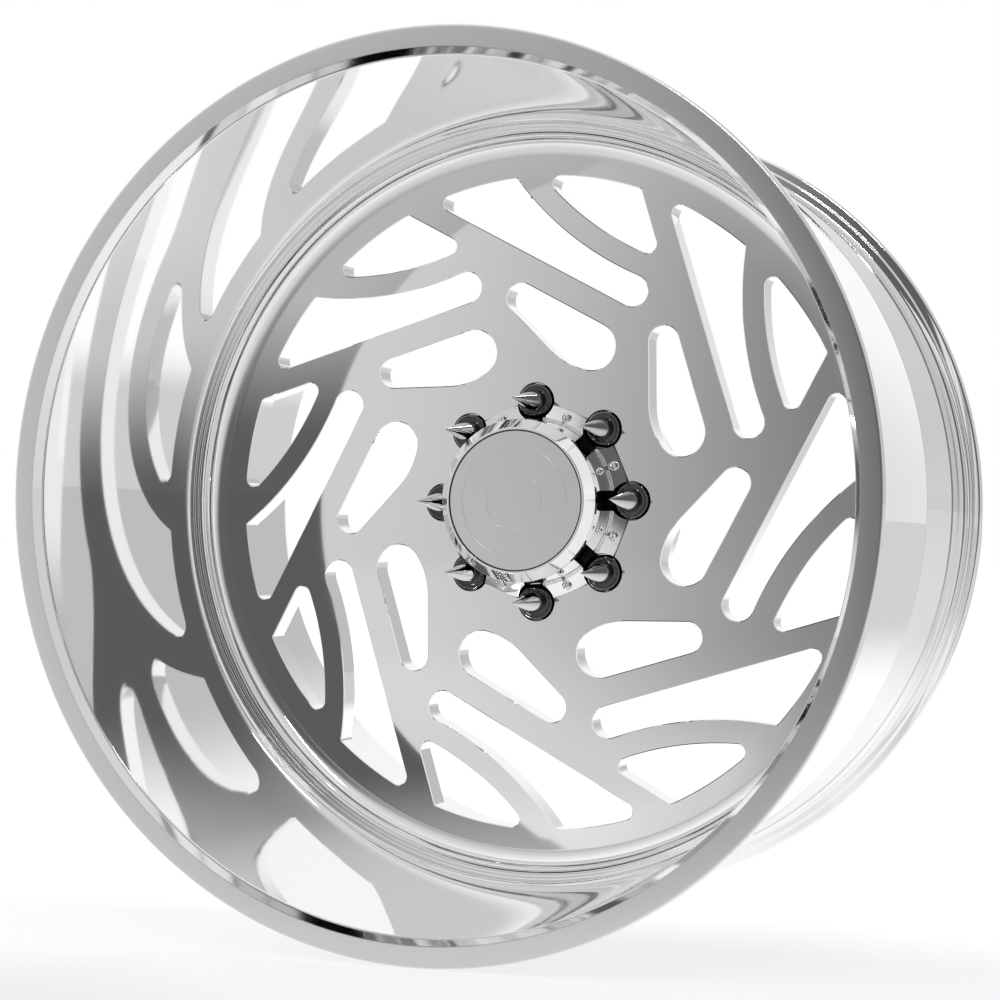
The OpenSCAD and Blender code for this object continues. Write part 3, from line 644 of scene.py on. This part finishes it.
# bezel, seal and plate at the cap's street end, with two fine turned rings on the plate
bezel = {"turns": 480, "sharp": 50, "r": 68, "deep": 15.2, "bevel": 2, "slope": 7.5, "opening": 58.8,
         "shelf": 52.5, "shelfT": 4, "round": 0.25}
plate = {"r": 57.6, "t": 3, "edge": 0.3, "sealDeep": 0.8, "rings": (0.42, 0.8), "ringW": 1, "ringDeep": 0.5}
bezelBack, ledgeY = top + bezel["deep"], top + plate["t"]
piece("cap_bezel_ring", [lathe(soften(
    [(cap["inside"], bezelBack), (bezel["r"] - bezel["bevel"], bezelBack),
     (bezel["r"], bezelBack - bezel["bevel"]), (bezel["r"], top + bezel["slope"]),
     (bezel["r"] - bezel["slope"], top), (bezel["opening"], top), (bezel["opening"], ledgeY),
     (bezel["shelf"], ledgeY), (bezel["shelf"], ledgeY + bezel["shelfT"]),
     (cap["inside"], ledgeY + bezel["shelfT"])], bezel["round"]), bezel["turns"])],
    "centre_cap", ["cap_bezel"], mirrorMetal, sharp=bezel["sharp"])
sealY = top + plate["sealDeep"]
piece("cap_plate_seal", [lathe([(plate["r"], sealY), (bezel["opening"], sealY),
                                (bezel["opening"], ledgeY), (plate["r"], ledgeY)], cap["turns"])],
      "centre_cap", ["cap_seal_ring"], rubber)
rings = []
for share in plate["rings"]:
    r, wide, narrow, low = plate["r"] * share, plate["ringW"], plate["ringW"] - 0.2, top + plate["ringDeep"]
    rings += [(r - wide, top), (r - narrow, low), (r + narrow, low), (r + wide, top)]
piece("cap_plate", [lathe([(0, top)] + rings + [(plate["r"] - plate["edge"], top),
                                                (plate["r"], top + plate["edge"]), (plate["r"], ledgeY),
                                                (0, ledgeY)], cap["turns"], closed=False)],
      "centre_cap", ["cap_emblem"], satin)

# the cap's screws: a low dome of a head with a round drive
head = {"turns": 40, "t": 1.0, "dome": 1.2, "domeTo": 1.16, "drive": 0.36, "tipR": 1.2, "tip": 0.3}


def screws(name, circleR, r, seat, length, node):
    t = np.linspace(0, head["domeTo"], 8)
    crown, end, shank = seat - head["t"], seat + length, cap["screw"]
    outline = ([(0, end), (head["tipR"], end), (shank, end - head["tip"]), (shank, seat), (r, seat)]
               + list(zip(r * np.cos(t), crown - head["dome"] * np.sin(t)))
               + [(r * head["drive"], crown), (0, crown)])
    piece(name, [lathe(outline, head["turns"], polar(circleR, a), closed=False) for a in screwTurns],
          "centre_cap", [node], chrome)


screws("cap_outer_screws", outerScrewR, cap["headR"][0], outerSeat, 8.0, "cap_skirt_screws")
screws("cap_inner_screws", innerScrewR, cap["headR"][1], innerSeat, faceY - innerSeat - 0.5,
       "cap_neck_screws")
print("cap done")

# lug nuts: a cone seat, a straight ring and a round crown, with a spike screwed into each
nut = {"turns": 96, "r": 15.2, "crownW": 6, "crownT": 8.5, "crownFoot": 1, "cone": 11.7, "coneEnd": 8.75,
       "gap": 0.12, "lift": 0.4, "bevel": 0.8, "stud": 7.06, "thread": 4.06, "threadT": 12.4}
spike = {"turns": 96, "r": 8.8, "tip": 0.4, "tall": 50, "gap": 0.06, "shank": 4, "shankT": 12, "bevel": 0.4}
nutTop = faceY + nut["crownFoot"] - nut["crownT"]


def coneAt(r):
    # y of the nut's 60 degree cone at a radius
    return coneBase + centre["stud"] / cone - nut["gap"] - r / cone


def nutOutline():
    n = nut
    t = np.linspace(0, np.pi / 2, 19)
    crown = zip(n["r"] - n["crownW"] + n["crownW"] * np.cos(t),
                faceY + n["crownFoot"] - n["crownT"] * np.sin(t))
    ringY, threadEnd = coneTop - n["lift"], nutTop + n["threadT"]
    return [(n["stud"], coneAt(n["coneEnd"])), (n["coneEnd"], coneAt(n["coneEnd"])),
            (n["cone"], coneAt(n["cone"])), (n["cone"], ringY), (n["r"] - n["bevel"], ringY),
            (n["r"], ringY - n["bevel"]), *crown, (n["thread"], nutTop), (n["thread"], threadEnd),
            (n["stud"], threadEnd)]


def spikeOutline():
    p = spike
    end, foot = nutTop + p["shankT"], nutTop - p["gap"]
    s = np.linspace(0, 1, 9)
    taper = zip(p["r"] - (p["r"] - p["tip"]) * s, nutTop - 1 - (p["tall"] - 1) * s)
    return [(0, end), (p["shank"] - p["bevel"], end), (p["shank"], end - p["bevel"]), (p["shank"], foot),
            (p["r"] - 0.2, foot), (p["r"], nutTop - 0.3), *taper,
            (0.25, nutTop - p["tall"]), (0, nutTop - p["tall"])]


for number, turn in enumerate(lugTurns, 1):
    lug = polar(lugR, turn)
    piece(f"nut_{number}_body", [lathe(nutOutline(), nut["turns"], lug)], f"nut_{number}",
          [f"lug_nut_{number}"], darkChrome)
    piece(f"spike_{number}_body", [lathe(spikeOutline(), spike["turns"], lug, closed=False)],
          f"spike_{number}", [f"lug_spike_{number}"], chrome)
print("lugs done")

# valve: its pieces keep their shapes and get their finishes
valveFinish = {
    "valve_stem": ("valve_brass", brass), "valve_outer_seal": ("seal_rubber", rubber),
    "valve_inner_seal": ("seal_rubber", rubber), "valve_nut": ("screw_metal", chrome),
    "valve_core": ("valve_brass", brass), "valve_pin": ("screw_metal", chrome),
    "valve_cap": ("valve_plastic", plastic),
}
for node, (slot, material) in valveFinish.items():
    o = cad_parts[node]
    o.data.materials.clear()
    o.data.materials.append(material)
print("valve done")

# studio: white all round, with a dim patch in front of the wheel that its flat faces mirror.
# from here on places are in metres
studio = {
    "spotX": 0.26, "spotZ": (-0.02, 0.18), "squash": 1.35, "dark": 0.12, "grey": 0.68, "outer": 0.3,
    "below": 0.88, "behind": 0.56, "behindFloor": 0.62, "floorZ": -0.3478, "floorHalf": 30,
    "shadow": 0.30, "glow": 0.84,
}
floorHalf, floorZ = studio["floorHalf"], studio["floorZ"]
floorMesh = bpy.data.meshes.new("floor")
floorCorners = [(x * floorHalf, y * floorHalf, floorZ) for x, y in ((-1, -1), (1, -1), (1, 1), (-1, 1))]
floorMesh.from_pydata(floorCorners, [], [(0, 1, 2, 3)])
floor = bpy.data.objects.new("floor", floorMesh)
bpy.context.scene.collection.objects.link(floor)
floor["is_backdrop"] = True
paleFloor = bpy.data.materials.new("pale_floor")
paleFloor.use_nodes = True
floorMesh.materials.append(paleFloor)


def studioLevel(vector, onFloor=False):
    # brightness seen in a direction. In front it grows with the distance from a spot at spotX, whose
    # height goes from the first spotZ on the left to the second on the right. Behind it falls a
    # little to the right, on the floor across the line x + 0.144 y = 0.45
    s = studio
    x, y, z = vector.node("VectorMath", {0: vector}, operation="NORMALIZE").parts()
    low = (z - x.ramp(-0.45, 0.0, *s["spotZ"])) * s["squash"]
    off = ((x - s["spotX"]) * (x - s["spotX"]) + low * low).math("SQRT")
    dim = off.ramp(0.38, 0.72, s["dark"], s["grey"], smooth=True) + off.ramp(0.75, 1.2, 0.0, s["outer"])
    dim = dim * z.ramp(-0.25, 0.05, s["below"], 1.0)
    if onFloor:
        across, away, _ = vector.parts()
        back = (across + away * 0.144).ramp(0.45, 0.85, 1.0, s["behindFloor"], smooth=True)
    else:
        back = x.ramp(0.05, 0.34, 1.0, s["behind"], smooth=True)
    behind = y.ramp(-0.15, 0.2)
    return dim * (1 - behind) + back * behind


world = bpy.data.worlds.new("studio")
bpy.context.scene.world = world
world.use_nodes = True
background = world.node_tree.nodes["Background"]
background.inputs["Color"].default_value = (1, 1, 1, 1)
studioLevel(Socket(world.node_tree).node("TexCoord")).into(background.inputs["Strength"])
# the floor glows with painted light that follows the studio's brightness beyond it, dimmer in front and
# falling to the right behind, and its diffuse share gives a soft shadow
floorShader = paleFloor.node_tree.nodes["Principled BSDF"]
floorShader.inputs["Roughness"].default_value = 1.0
floorShader.inputs["Specular IOR Level"].default_value = 0.0
floorShader.inputs["Emission Strength"].default_value = 1.0
level = studioLevel(objectPlace(paleFloor.node_tree), True)
for key, share in (("Base Color", studio["shadow"]), ("Emission Color", studio["glow"])):
    (level * share).into(floorShader.inputs[key])
bpy.context.scene.view_settings.view_transform = "Standard"

# lamps that face the wheel: place, size in x and y, power, and whether the metal mirrors it
lamps = {
    "key": ((-2.6, -2.2, 1.8), (1.6, 1.6), 30, False),
    "strip_high": ((0.9, -2.4, 2.4), (0.12, 1.2), 12, True),
    "strip_low": ((1.6, -2.2, -1.9), (0.1, 1.0), 8, True),
}
for name, (place, size, power, mirrored) in lamps.items():
    data = bpy.data.lights.new(name, "AREA")
    data.shape, data.size, data.size_y, data.energy = "RECTANGLE", *size, power
    lamp = bpy.data.objects.new(name, data)
    bpy.context.scene.collection.objects.link(lamp)
    lamp.location = place
    lamp.rotation_euler = (-Vector(place)).to_track_quat("-Z", "Y").to_euler()
    lamp.visible_glossy = mirrored

view = {"lens": 76.19, "sensor": 36.0, "place": (0.6292, -1.6432, -0.0387), "look": (-0.3661, 0.9303, 0.0223)}
camData = bpy.data.cameras.new("camera")
camera = bpy.data.objects.new("camera", camData)
bpy.context.scene.collection.objects.link(camera)
camData.lens, camData.sensor_width = view["lens"], view["sensor"]
camData.clip_start, camData.clip_end = 0.05, 100
camera.location = view["place"]
look = Vector(view["look"]).normalized()
right = look.cross(Vector((0, 0, 1))).normalized()
up = right.cross(look)
camera.rotation_euler = Matrix((right, up, -look)).transposed().to_euler()
bpy.context.scene.camera = camera
print("studio done")

low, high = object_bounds()
